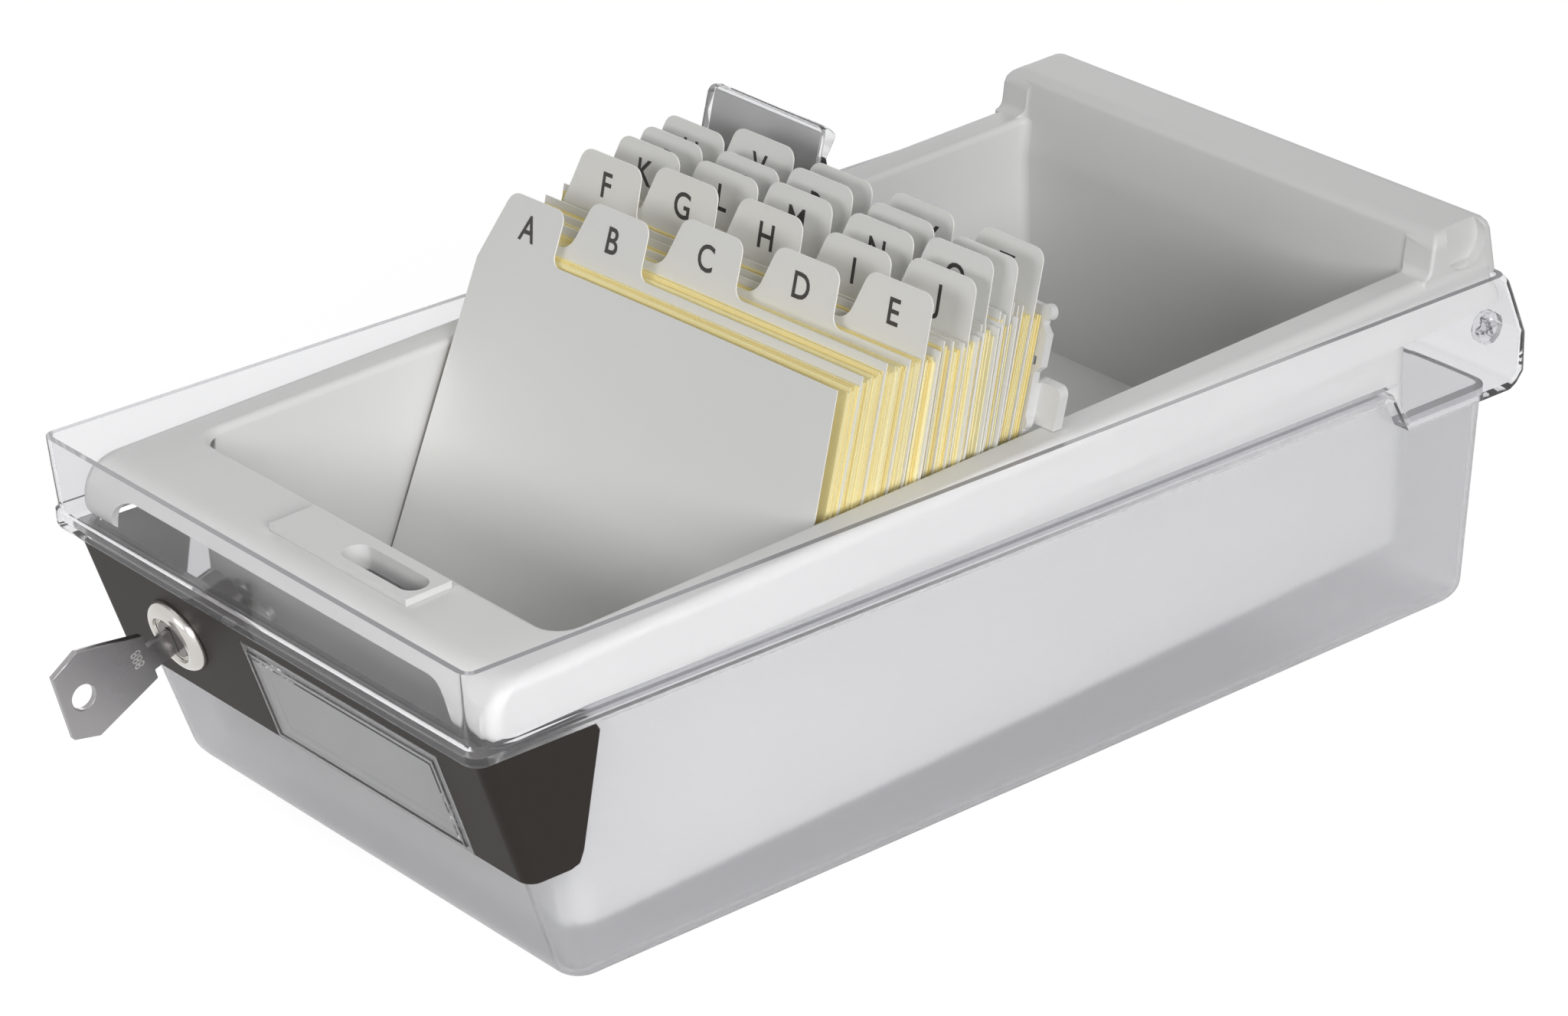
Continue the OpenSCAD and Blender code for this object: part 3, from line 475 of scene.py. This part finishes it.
def makeFloor():
    half = studio["floorHalf"]
    corners = [(x * half, y * half, -studio["floorDown"]) for x, y in ((-1, -1), (1, -1), (1, 1), (-1, 1))]
    floor = makeObject("floor", corners, [(0, 1, 2, 3)])
    material = bpy.data.materials.new("floorPaper")
    tree, out = newTree(material)
    skin = tree.nodes.new("ShaderNodeBsdfPrincipled")
    skin.inputs["Base Color"].default_value = (studio["floorTone"],) * 3 + (1,)
    skin.inputs["Roughness"].default_value = studio["floorRough"]
    skin.inputs["Specular IOR Level"].default_value = studio["floorShine"]
    power = addNode(tree, "ShaderNodeMath", operation="MULTIPLY")
    tree.links.new(seenRays(tree), power.inputs[0])
    power.inputs[1].default_value = studio["floorGlow"]
    glow = tree.nodes.new("ShaderNodeEmission")
    tree.links.new(power.outputs[0], glow.inputs["Strength"])
    both = tree.nodes.new("ShaderNodeAddShader")
    tree.links.new(skin.outputs[0], both.inputs[0])
    tree.links.new(glow.outputs[0], both.inputs[1])
    tree.links.new(both.outputs[0], out.inputs["Surface"])
    floor.data.materials.append(material)


def makeLamps():
    for name, lamp in lampSet.items():
        data = bpy.data.lights.new(name, "AREA")
        data.shape = "RECTANGLE"
        data.size, data.size_y = lamp["size"]
        data.energy = lamp["power"]
        panel = bpy.data.objects.new(name, data)
        panel.location = lamp["place"]
        aim = Vector(lamp["aim"]) - Vector(lamp["place"])
        panel.rotation_euler = aim.to_track_quat("-Z", "Y").to_euler()
        scene.collection.objects.link(panel)


makeCamera()
makeWorld()
makeFloor()
makeLamps()
print("studio ready")


# the clear cover: a frosted tub with a clear ledge, skirt and rear pocket
def stepRing(frontHalf, rearHalf, front, rear, z, rearZ, r):
    n = cover["cornerSteps"]
    start = cover["length"] - cover["pocketLength"]
    end = start + cover["pocketStep"]
    ring = [(x, y, z) for x, y in arcPoints(frontHalf - r, front + r, r, -90, 0, n)]
    ring += [(frontHalf, start, z), (rearHalf, end, rearZ)]
    ring += [(x, y, rearZ) for x, y in arcPoints(rearHalf - r, rear - r, r, 0, 90, n)]
    ring += [(x, y, rearZ) for x, y in arcPoints(r - rearHalf, rear - r, r, 90, 180, n)]
    ring += [(-rearHalf, end, rearZ), (-frontHalf, start, z)]
    ring += [(x, y, z) for x, y in arcPoints(r - frontHalf, front + r, r, 180, 270, n)]
    return [inCover(*p) for p in ring]


def tubHalfAt(z):
    return cover["tubHalf"] - (cover["ledge"] - z) * math.tan(math.radians(cover["draft"]))


def tubRearAt(z):
    return cover["tubRear"] - (cover["ledge"] - z) * math.tan(math.radians(cover["draft"]))


def tubFrontAt(z):
    return cover["tubFront"] - z * math.tan(math.radians(cover["lean"]))


def cornerAt(name, wall):
    return max(cover[name] - wall, cover["leastCorner"])


def tubRings(wall):
    rings = []
    r = cover["foot"] - wall
    for k in range(cover["filletSteps"] + 1):
        a = math.radians(90 * k / cover["filletSteps"])
        inset = wall + r * (1 - math.sin(a))
        z = wall + r * (1 - math.cos(a))
        rings.append(stepRing(tubHalfAt(z) - inset, tubHalfAt(z) - inset, tubFrontAt(z) + inset,
                              tubRearAt(z) - inset, z, z, cornerAt("tubCorner", wall)))
    return rings


def tubTopRing(wall):
    z, low = cover["ledge"], cover["pocketLow"]
    return stepRing(tubHalfAt(z) - wall, tubHalfAt(low) - wall,
                    tubFrontAt(z + wall) + wall / math.cos(math.radians(cover["lean"])), tubRearAt(low) - wall,
                    z + wall, low + wall, cornerAt("tubCorner", wall))


def skirtRings(wall, insets):
    ups, low = cover["ups"], cover["pocketLow"]
    top = cover["ledge"] + cover["skirt"]
    rings = []
    for k in range(1 if wall > 0 else 0, len(ups)):
        inset = cover["lipIn"] * insets[k] + wall
        half = cover["half"] - inset
        z = max(cover["ledge"] + cover["skirt"] * ups[k], cover["ledge"] + wall)
        rearZ = max(low + (top - low) * cover["pocketUps"][k], low + wall)
        rings.append(stepRing(half, half, cover["bandLean"] * (1 - ups[k]) + inset,
                              cover["rimRear"] + cover["bulge"] * cover["bulges"][k] - wall, z, rearZ,
                              cornerAt("bandCorner", wall)))
    return rings


def makeCover():
    wall, near, far, reach = (cover[name] for name in ("wall", "boreAxis", "bore", "boreReach"))
    outside = tubRings(0) + [tubTopRing(0)] + skirtRings(0, cover["outerInsets"])
    inside = tubRings(wall) + [tubTopRing(wall)] + skirtRings(wall, cover["innerInsets"])
    shell = loft("clearCover", outside + inside[::-1])
    cutAway(shell, lathe("bore", [(near, -reach), (far, -reach), (far, reach), (near, reach)], onLock))
    roundEdges(shell, cover["edge"], above=cover["sharpAbove"])
    names = ("clearSkirt", "frostedTub", "skirtRimPaintedShade", "tubFootShade")
    for face in shell.data.polygons:
        z = face.center.z / mm
        pocket = face.center.y / mm > cover["length"] / 2 - cover["pocketLength"] - cover["pocketFront"]
        seam = cover["pocketSeam"] if pocket else cover["ledge"] - cover["seamDown"]
        # the skirt's top band takes the painted shade of its rim line
        if z > cover["ledge"] + cover["skirt"] - cover["rimBand"]:
            look = "skirtRimPaintedShade"
        # down-facing faces of the tub's foot take the painted shade beneath them
        elif z < cover["foot"] * cover["footShare"] and face.normal.z < cover["facingDown"]:
            look = "tubFootShade"
        else:
            look = "clearSkirt" if z > seam else "frostedTub"
        face.material_index = names.index(look)
    settle(shell, "cover", ["cover_shell"], [finishes[name] for name in names])


# the two pivot studs: short rings with a cross of ribs
stud = {"d": 10, "long": 4.4, "drop": 16.1, "back": 16.3, "bore": 5.6, "rib": 1.1, "face": 0.6, "sunk": 0.2,
        "sideBack": 1.4, "faceBack": 0.9, "boreBack": 1.5, "ribBack": 1.6, "ribShare": 0.98,
        "turns": (20, 110), "steps": 10}


def makeStud(side):
    top = cover["ledge"] + cover["skirt"]
    start = cover["half"] - cover["lipIn"] - cover["wall"]
    out, bore, face, tip = stud["d"] / 2, stud["bore"] / 2, stud["face"], stud["long"]

    def place(a, b, depth):
        return inCover(side * (start + stud["sunk"] - depth), cover["length"] - stud["back"] + a,
                       top - stud["drop"] + b)
    profile = [(bore, 0), (out, 0), (out, tip - stud["sideBack"]), (out - face, tip - stud["faceBack"]),
               (bore + face, tip - stud["faceBack"]), (bore, tip - stud["boreBack"])]
    ring = lathe("pivotStud" + ("Right" if side > 0 else "Left"), profile, place, steps=stud["steps"])
    work = bmesh.new()
    work.from_mesh(ring.data)
    for turn in stud["turns"]:
        c, s = math.cos(math.radians(turn)), math.sin(math.radians(turn))
        corners = []
        for depth in (0.0, tip - stud["ribBack"]):
            for a, b in ((-1, -1), (1, -1), (1, 1), (-1, 1)):
                u, v = a * bore * stud["ribShare"], b * stud["rib"] / 2
                corners.append(work.verts.new(place(u * c - v * s, u * s + v * c, depth)))
        for f in ((0, 1, 2, 3), (4, 7, 6, 5), (0, 4, 5, 1), (1, 5, 6, 2), (2, 6, 7, 3), (3, 7, 4, 0)):
            work.faces.new([corners[i] for i in f])
    bmesh.ops.recalc_face_normals(work, faces=work.faces)
    work.to_mesh(ring.data)
    work.free()
    settle(ring, "cover", [], [finishes["clearSkirt"]])


# the lock: a domed bezel on a barrel, a turning plug with its keyway, and the key
lock = {"x": -50.0, "up": 64.0, "barrel": 18.0, "bezel": 22.0, "stand": 3.8, "proud": 3.5, "plug": 11.5,
        "back": 14.0, "gap": 0.05, "edge": 0.12, "sharpAbove": 40, "steps": 72,
        # the domed face and the dish around the plug: domeFoot, lipDown and ring are lengths, domeTurn is an
        # angle, and the others are shares of the bezel's radius or height
        "domeWide": 0.28, "domeFoot": 0.5, "domeTurn": 15, "lipAt": 0.66, "lipDown": 0.15,
        "dish": ((0.63, 0.62), (0.58, 0.58)), "ring": 0.5, "ringUp": 0.6, "plugUp": 0.5}


def onLock(x, y, out):
    return onFront(lock["x"] + x, lock["up"] + y, out)


def makeLock():
    stand, proud, foot, r = lock["stand"], lock["proud"], lock["domeFoot"], lock["bezel"] / 2
    inner, barrel = lock["plug"] / 2 + lock["gap"], lock["barrel"] / 2
    wide = lock["domeWide"]
    dome = [(r * math.cos(math.radians(a)) * wide + r * (1 - wide),
             stand + foot + (proud - foot) * math.sin(math.radians(a))) for a in range(0, 91, lock["domeTurn"])]
    profile = [(inner, -lock["back"]), (barrel, -lock["back"]), (barrel, stand + lock["gap"]),
               (r, stand + lock["gap"])] + dome
    profile += [(r * lock["lipAt"], stand + proud - lock["lipDown"])]
    profile += [(r * share, stand + proud * up) for share, up in lock["dish"]]
    profile += [(inner + lock["ring"], stand + proud * lock["ringUp"]), (inner, stand + proud * lock["plugUp"])]
    bezel = lathe("lockBezel", profile, onLock, steps=lock["steps"])
    roundEdges(bezel, lock["edge"], above=lock["sharpAbove"])
    settle(bezel, "cover", ["lock_housing"], [finishes["lockChrome"]])
    dressNodes((("lock_plug", "lockPlug", "lock_core", "lock_brass", "plugMetal", 0.15),
                ("lock_nut", "lockNut", "cover", "zinc", "innerZinc", 0.3),
                ("lock_wafers", "lockWafers", "lock_core", "lock_brass", "innerZinc", 0.05),
                ("lock_cam", "lockCam", "lock_core", "zinc", "innerZinc", 0.2),
                ("cam_screw", "camScrew", "lock_core", "zinc", "innerZinc", 0.2)))


keyShape = {"chamfer": 0.55, "sharpAbove": 40, "face": 1.03, "number": "888", "out": 16.6, "middle": 2.5,
            "high": 3.3, "wide": 0.8}


def makeKey():
    key = copyNode("key", "lockKey", keyShape["chamfer"], above=keyShape["sharpAbove"], steps=1)
    settle(key, "key", ["key"], [finishes["keySteel"]])
    points, faces = flatText(keyShape["number"], keyShape["high"], keyShape["wide"])
    digits = makeObject("keyNumber", [onLock(keyShape["face"], keyShape["middle"] - x, keyShape["out"] + y)
                                      for x, y in points], faces)
    settle(digits, "key", [], [finishes["keyBright"]])


makeCover()
for side in (-1, 1):
    makeStud(side)
makeLock()
makeKey()
print("cover, lock and key ready")

# the brown front panel with its label window, framed by steps: how far in, how deep
panel = {"edge": 0.5, "sharpAbove": 30, "windowEdge": 0.12, "facing": 0.9,
         "frame": ((1.0, 0.0), (0.5, -0.3), (0.9, 0.0), (0.5, 0.25))}


def makePanel():
    plate = copyNode("front_panel", "frontPanel", panel["edge"], above=panel["sharpAbove"])
    settle(plate, "cover", ["front_panel"], [finishes["panelBrown"]])
    dressNodes((("label_card", "labelCard", "cover", "label_paper", "labelPaper", 0.05),))
    pane = copyNode("label_window", "labelWindow", 0)
    out = onFront(0, 0, 1) - onFront(0, 0, 0)
    work = bmesh.new()
    work.from_mesh(pane.data)
    for wide, deep in panel["frame"]:
        forward = [f for f in work.faces if f.normal.dot(out) > panel["facing"] * mm]
        face = max(forward, key=lambda f: f.calc_area())
        bmesh.ops.inset_region(work, faces=[face], thickness=wide * mm, depth=deep * mm)
    work.to_mesh(pane.data)
    work.free()
    settle(roundEdges(pane, panel["windowEdge"]), "window", ["label_window"],
           [finishes["clearWindow"]])


makePanel()
print("front panel ready")


# the grey tray, one moulding of two nodes, with its lock plate, support and sign
def makeTray():
    shell = cutAway(copyNode("tray_rim", "cardTray", 0), copyNode("tray_shell", "trayBody", 0), "UNION")
    weldMesh(shell.data, meshing["unionWeld"])
    roundEdges(shell, tray["edge"], above=tray["sharpAbove"])
    settle(shell, "tray", ["tray_shell", "tray_rim"], [finishes["trayPlastic"]])
    dressNodes((("striker_plate", "lockPlate", "tray", "tray_plastic", "trayPlastic", 0.4),
                ("card_support", "cardSupport", "support", "support_plastic", "trayPlastic", 0.4),
                ("sign_holder", "signHolder", "sign", "clear_window", "clearWindow", 0.3),
                ("sign_insert", "signInsert", "sign", "label_paper", "labelPaper", 0.05)))


makeTray()
print("tray ready")

# lettered guides and cards: every sheet stands on the tray's level floor and leans back
files = {
    "front": 93.0, "long": 78.2, "wide": 148.0, "high": 101.5, "tabHigh": 15.5, "tabWide": 23.5, "slant": 5.6,
    "shoulder": 5.5, "pitch": 29.4, "columns": 5, "thick": 0.38, "lift": 0.2,
    "firstLean": 17.5, "midLean": 10.5, "lastLean": 13.4, "fan": 8,
    # the arcs of a tab, and where a sheet is cut so that it can twist
    "stepArc": 3.2, "rightArc": 3.6, "leftArc": 4.6, "footArc": 6, "arcSteps": 6,
    "cutsAcross": range(-60, 61, 20), "cutsUp": (25, 50, 75, 95),
    "spaces": (92, 98, 93, 63, 52, 35, 40, 33, 24, 22, 16, 14, 14, 14, 18, 12, 12, 14, 14, 12, 11, 11, 12, 24,
               32),
    "skew": (7.5, 6.0, 5.0, 4.5, 4.0, 3.5, 3.3, 3.2, 3.1, 3.0, 2.9, 2.8, 2.7, 2.5, 2.4, 2.3, 2.1, 2.0, 1.9,
             1.8, 1.6, 1.5, 1.5, 1.2, 0.6),
    "twist": (5.0, 3.0, 2.0, 1.0, 0.5, 0.3),
    "grow": (-2.3, -0.6, 0.7, -1.0, -0.6, -1.0, 0.6, -0.6, -2.0, -1.2, -1.2, -0.4, 1.0, 0.6, 1.8, -0.6, 0.4,
             3.2, 1.8, 0.8, 0.8, 4.0, 2.4, 2.2, 1.4),
    "slide": (0, 0, 0, 0, 0, 1.8, 0, 0, 1.0, 0.2, 1.8, 1.8, -0.5, -0.3, -1.8, 1.8, 1.8, -0.5, 0, 0.4, 1.8,
              -1.8, -1.8, -1.8, -0.3),
    "letters": ("A", "B", "C", "D", "E", "F", "G", "H", "I", "J", "K", "L", "M", "N", "O",
                "P", "Q", "R", "S", "T", "U", "V", "W", "X-Y", "Z"),
    "letterHigh": 7.6, "letterWide": 0.92, "letterX": -13.0, "letterUp": 3.6, "inkBack": -0.04,
    "readFrom": (0, -1, 0.3),
}
sheetFace, sheetEdge, sheetInk = range(3)


def pick(values, i):
    return values[i] if i < len(values) else 0


def sheetAt(i):
    # foot of guide i and how it stands: skewed, moved sideways, twisted, taller, leaning
    spaces = files["spaces"]
    foot = files["front"] + files["long"] * sum(spaces[:i]) / sum(spaces)
    early, late = (max(0, 1 - k / files["fan"]) ** 2 for k in (i, len(spaces) - i))
    lean = files["midLean"] + (files["firstLean"] - files["midLean"]) * early
    lean += (files["lastLean"] - files["midLean"]) * late
    return (foot, *(pick(files[name], i) for name in ("skew", "slide", "twist", "grow")), lean)


def sheetPoint(sheet, x, s, back):
    foot, skew, slide, twist, grow, lean = sheet
    share = x / (files["wide"] / 2)
    a = math.radians(lean - twist * share)
    u = foot + skew * share
    s *= 1 + grow / (files["high"] + files["tabHigh"])
    return onFloor(x + slide, u + s * math.sin(a) + back * math.cos(a),
                   s * math.cos(a) - back * math.sin(a) + files["lift"])


def tabRight(i):
    return files["wide"] / 2 - (files["columns"] - 1 - i % files["columns"]) * files["pitch"]


def guideOutline(i):
    column = i % files["columns"]
    half, high, steps = files["wide"] / 2, files["high"], files["arcSteps"]
    step, corner, cut, swell = (files[name] for name in ("stepArc", "rightArc", "leftArc", "footArc"))
    top, right = high + files["tabHigh"], tabRight(i)
    left = right - files["tabWide"]
    foot = (left - files["slant"], high) if column else (-half, high - files["shoulder"])
    slope = math.degrees(math.atan2(top - foot[1], left - foot[0]))
    bend = math.tan(math.radians(slope / 2))
    outline = [(-half, 0), (half, 0)]
    if column < files["columns"] - 1:
        outline += [(half, high)] + arcPoints(right + step, high + step, step, -90, -180, steps)
    outline += arcPoints(right - corner, top - corner, corner, 0, 90, steps)
    outline += arcPoints(left + cut * bend, top - cut, cut, 90, 90 + slope, steps)
    if column:
        outline += arcPoints(foot[0] - swell * bend, high + swell, swell, slope - 90, -90, steps)
        foot = (-half, high)
    return outline + [foot]


def cutSheet(flat, place, along):
    bmesh.ops.bisect_plane(flat, geom=flat.verts[:] + flat.edges[:] + flat.faces[:], plane_co=place,
                           plane_no=along)


def makeGuide(work, i):
    sheet = sheetAt(i)
    flat = bmesh.new()
    flat.faces.new([flat.verts.new((x, s, 0)) for x, s in guideOutline(i)])
    for x in files["cutsAcross"]:
        cutSheet(flat, (x, 0, 0), (1, 0, 0))
    for s in files["cutsUp"]:
        cutSheet(flat, (0, s, 0), (0, 1, 0))
    flat.verts.index_update()
    front, back = {}, {}
    for v in flat.verts:
        front[v.index] = work.verts.new(sheetPoint(sheet, v.co.x, v.co.y, 0))
        back[v.index] = work.verts.new(sheetPoint(sheet, v.co.x, v.co.y, files["thick"]))
    for face in flat.faces:
        ids = [v.index for v in face.verts]
        work.faces.new([front[k] for k in ids]).material_index = sheetFace
        work.faces.new([back[k] for k in reversed(ids)]).material_index = sheetFace
    for edge in flat.edges:
        if len(edge.link_faces) == 1:
            a, b = (v.index for v in edge.verts)
            work.faces.new((front[a], front[b], back[b], back[a])).material_index = sheetEdge
    flat.free()
    points, faces = flatText(files["letters"][i], files["letterHigh"], files["letterWide"])
    across, up = tabRight(i) + files["letterX"], files["high"] + files["letterUp"]
    ink = [work.verts.new(sheetPoint(sheet, across + x, up + s, files["inkBack"])) for x, s in points]
    for face in faces:
        work.faces.new([ink[k] for k in face]).material_index = sheetInk


def makeGuides(name, first, last, node, body):
    work = bmesh.new()
    for i in range(first, last + 1):
        makeGuide(work, i)
    solid = [f for f in work.faces if f.material_index != sheetInk]
    bmesh.ops.recalc_face_normals(work, faces=solid)
    for f in work.faces:
        f.normal_update()
        if f.material_index == sheetInk and f.normal.dot(Vector(files["readFrom"])) < 0:
            f.normal_flip()
    settle(sheetObject(name, work), body, [node],
           [finishes[look] for look in ("guidePlastic", "guideEdgeHighlight", "letterInk")])


# yellow record cards: lengths of one card, and how the cards of a bundle differ
cards = {
    "thick": 0.35, "pitch": 0.36, "high": 99.5, "half": 73.4, "foot": 0.1, "across": (-1, -0.5, 0, 0.5, 1),
    "openFront": 4.2, "start": 0.9, "tightStart": 0.05, "tightBelow": 3, "gap": 0.1,
    "seed": 40, "uneven": (-1.3, 0.5), "shift": (-0.25, 0.3),
    "tones": ((0.96, 0.84, 0.42), (0.97, 0.88, 0.51), (0.91, 0.76, 0.33), (0.97, 0.90, 0.58)),
}


def sheetAfter(i):
    if i + 1 < len(files["letters"]):
        return sheetAt(i + 1)
    return files["front"] + files["long"], 0, 0, 0, 0, files["lastLean"]


def cardFaces(work, sheet, high, shift):
    front, back = [], []
    for s in (cards["foot"], high * 0.5, high):
        for rows, side in ((front, -0.5), (back, 0.5)):
            rows.append([work.verts.new(sheetPoint(sheet, cards["half"] * t + shift, s, side * cards["thick"]))
                         for t in cards["across"]])
    made = []
    for r in range(2):
        for c in range(4):
            made.append(work.faces.new((front[r][c], front[r][c + 1], front[r + 1][c + 1], front[r + 1][c])))
            made.append(work.faces.new((back[r][c], back[r + 1][c], back[r + 1][c + 1], back[r][c + 1])))
        for c in (0, 4):
            made.append(work.faces.new((front[r][c], front[r + 1][c], back[r + 1][c], back[r][c])))
    for c in range(4):
        for r in (0, 2):
            made.append(work.faces.new((front[r][c], back[r][c], back[r][c + 1], front[r][c + 1])))
    return made


def makeCards(name, first, last, node):
    dice = random.Random(cards["seed"] + first)
    work = bmesh.new()
    layer = work.loops.layers.float_color.new("tone")
    for i in range(first, last + 1):
        a, b = sheetAt(i), sheetAfter(i)
        room = b[0] - a[0] - files["thick"] - cards["gap"]
        start = cards["start"] if room > cards["tightBelow"] else cards["tightStart"]
        if i == 0:
            start = cards["openFront"]
        count = max(1, int((room - start) / cards["pitch"]))
        for k in range(count):
            place = (files["thick"] + start + (room - start) * (k + 0.5) / count) / (b[0] - a[0])
            sheet = tuple(p + (q - p) * place for p, q in zip(a, b))
            high = cards["high"] + dice.uniform(*cards["uneven"])
            shift = dice.uniform(*cards["shift"])
            tone = dice.choice(cards["tones"])
            for face in cardFaces(work, sheet, high, shift):
                for loop in face.loops:
                    loop[layer] = (*tone, 1)
    bmesh.ops.recalc_face_normals(work, faces=work.faces)
    settle(sheetObject(name, work), "tray", [node], [finishes["cardPaper"]])


for name, first, last, node, body in (
        ("guideA", 0, 0, "guide_a", "first_guide"), ("guidesBtoE", 1, 4, "guides_b_e", "tray"),
        ("guidesFtoJ", 5, 9, "guides_f_j", "tray"), ("guidesKtoO", 10, 14, "guides_k_o", "tray"),
        ("guidesPtoT", 15, 19, "guides_p_t", "tray"), ("guidesUtoZ", 20, 24, "guides_u_z", "tray")):
    makeGuides(name, first, last, node, body)
for name, first, last, node in (
        ("cardsAtoE", 0, 4, "cards_a_e"), ("cardsFtoJ", 5, 9, "cards_f_j"), ("cardsKtoO", 10, 14, "cards_k_o"),
        ("cardsPtoT", 15, 19, "cards_p_t"), ("cardsUtoZ", 20, 24, "cards_u_z")):
    makeCards(name, first, last, node)
print("guides and cards ready")
